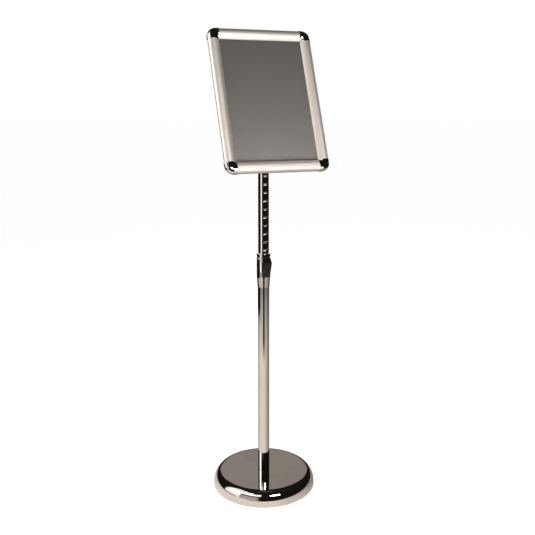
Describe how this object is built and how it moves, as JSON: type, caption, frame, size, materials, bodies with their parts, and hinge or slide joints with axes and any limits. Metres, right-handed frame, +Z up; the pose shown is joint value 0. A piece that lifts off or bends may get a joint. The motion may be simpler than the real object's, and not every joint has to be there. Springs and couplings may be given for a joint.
{
  "type": "sign stand",
  "caption": "Floor sign stand: round weighted base, notched telescopic post with a push latch, tilting and turning snap frame for an A4 sheet.",
  "frame": {"origin": "on the floor, under the middle of the round base", "axes": "+Z up along the post, the sign faces -Y and leans back 22.5 degrees, +X to the sign's right as its reader sees it"},
  "size_m": [0.2498, 0.2498, 1.0854],
  "materials": {
    "mirror_chrome": "polished mirror chrome plate",
    "satin_aluminium": "satin silver anodised, drawn along the rail",
    "bright_steel": "zinc plated steel",
    "cast_iron": "rough casting, black paint",
    "black_plastic": "satin black moulding",
    "nylon": "natural nylon",
    "base_rubber": "black rubber sheet",
    "grey_backing": "warm dark grey sheet, smooth",
    "clear_cover": "clear anti-glare sheet"
  },
  "bodies": {
    "post": {"base_pad": "base_rubber", "base_weight": "cast_iron", "base_cover": "mirror_chrome", "base_bolt": "bright_steel", "base_washer": "bright_steel", "post_foot_plug": "bright_steel", "lower_post": "mirror_chrome", "latch_housing": "mirror_chrome", "collar_cap_ring": "mirror_chrome", "guide_bush": "nylon", "housing_screw": "bright_steel", "latch_pivot_pin": "bright_steel", "latch_spring": "bright_steel"},
    "latch": {"latch_lever": "black_plastic"},
    "mast": {"upper_mast": "mirror_chrome", "mast_foot_bush": "nylon", "head_plug": "bright_steel", "head_plug_pin": "bright_steel"},
    "tilt_head": {"tilt_bracket": "bright_steel", "tilt_bolt": "bright_steel", "tilt_washer_left": "nylon", "tilt_washer_right": "nylon", "turn_washer": "nylon"},
    "knob": {"tilt_knob": "black_plastic"},
    "frame": {"mounting_plate": "bright_steel", "swivel_bolt": "bright_steel", "swivel_nut": "bright_steel", "back_panel": "grey_backing", "clear_sheet": "clear_cover", "plate_screw_upper_left": "bright_steel", "plate_screw_upper_right": "bright_steel", "plate_screw_lower_left": "bright_steel", "plate_screw_lower_right": "bright_steel", "base_rail_left": "satin_aluminium", "base_rail_right": "satin_aluminium", "base_rail_top": "satin_aluminium", "base_rail_bottom": "satin_aluminium", "corner_cap_upper_left": "mirror_chrome", "corner_cap_upper_right": "mirror_chrome", "corner_cap_lower_left": "mirror_chrome", "corner_cap_lower_right": "mirror_chrome", "leaf_spring_left_1": "bright_steel", "leaf_spring_left_2": "bright_steel", "leaf_spring_right_1": "bright_steel", "leaf_spring_right_2": "bright_steel", "leaf_spring_top_1": "bright_steel", "leaf_spring_top_2": "bright_steel", "leaf_spring_bottom_1": "bright_steel", "leaf_spring_bottom_2": "bright_steel"},
    "snap_left": {"snap_rail_left": "satin_aluminium"},
    "snap_right": {"snap_rail_right": "satin_aluminium"},
    "snap_top": {"snap_rail_top": "satin_aluminium"},
    "snap_bottom": {"snap_rail_bottom": "satin_aluminium"}
  },
  "joints": [
    {"name": "height_slide", "type": "slide", "parent": "post", "child": "mast", "axis": [0, 0, 1], "range_m": [-0.228, 0.095]},
    {"name": "latch_press", "type": "hinge", "parent": "post", "child": "latch", "pos_m": [0, -0.018, 0.551], "axis": [1, 0, 0], "range_deg": [-7, 0], "stiffness_Nm_per_rad": 0.1, "springref_deg": 6.88, "deforming": ["latch_spring"]},
    {"name": "head_tilt", "type": "hinge", "parent": "mast", "child": "tilt_head", "pos_m": [0, 0, 0.9183], "axis": [-1, 0, 0], "range_deg": [-22.5, 67.5]},
    {"name": "knob_turn", "type": "hinge", "parent": "tilt_head", "child": "knob", "pos_m": [0, 0, 0.9183], "axis": [1, 0, 0], "range_deg": [-90, 360]},
    {"name": "frame_turn", "type": "hinge", "parent": "tilt_head", "child": "frame", "pos_m": [0, -0.02864, 0.93016], "axis": [0, -0.9239, 0.3827], "range_deg": [-90, 90]},
    {"name": "snap_left_open", "type": "hinge", "parent": "frame", "child": "snap_left", "pos_m": [-0.1176, -0.03446, 0.93257], "axis": [0, -0.3827, -0.9239], "range_deg": [0, 75]},
    {"name": "snap_right_open", "type": "hinge", "parent": "frame", "child": "snap_right", "pos_m": [0.1176, -0.03446, 0.93257], "axis": [0, 0.3827, 0.9239], "range_deg": [0, 75]},
    {"name": "snap_top_open", "type": "hinge", "parent": "frame", "child": "snap_top", "pos_m": [0, 0.02719, 1.08141], "axis": [-1, 0, 0], "range_deg": [0, 75]},
    {"name": "snap_bottom_open", "type": "hinge", "parent": "frame", "child": "snap_bottom", "pos_m": [0, -0.09611, 0.78374], "axis": [1, 0, 0], "range_deg": [0, 75]}
  ]
}
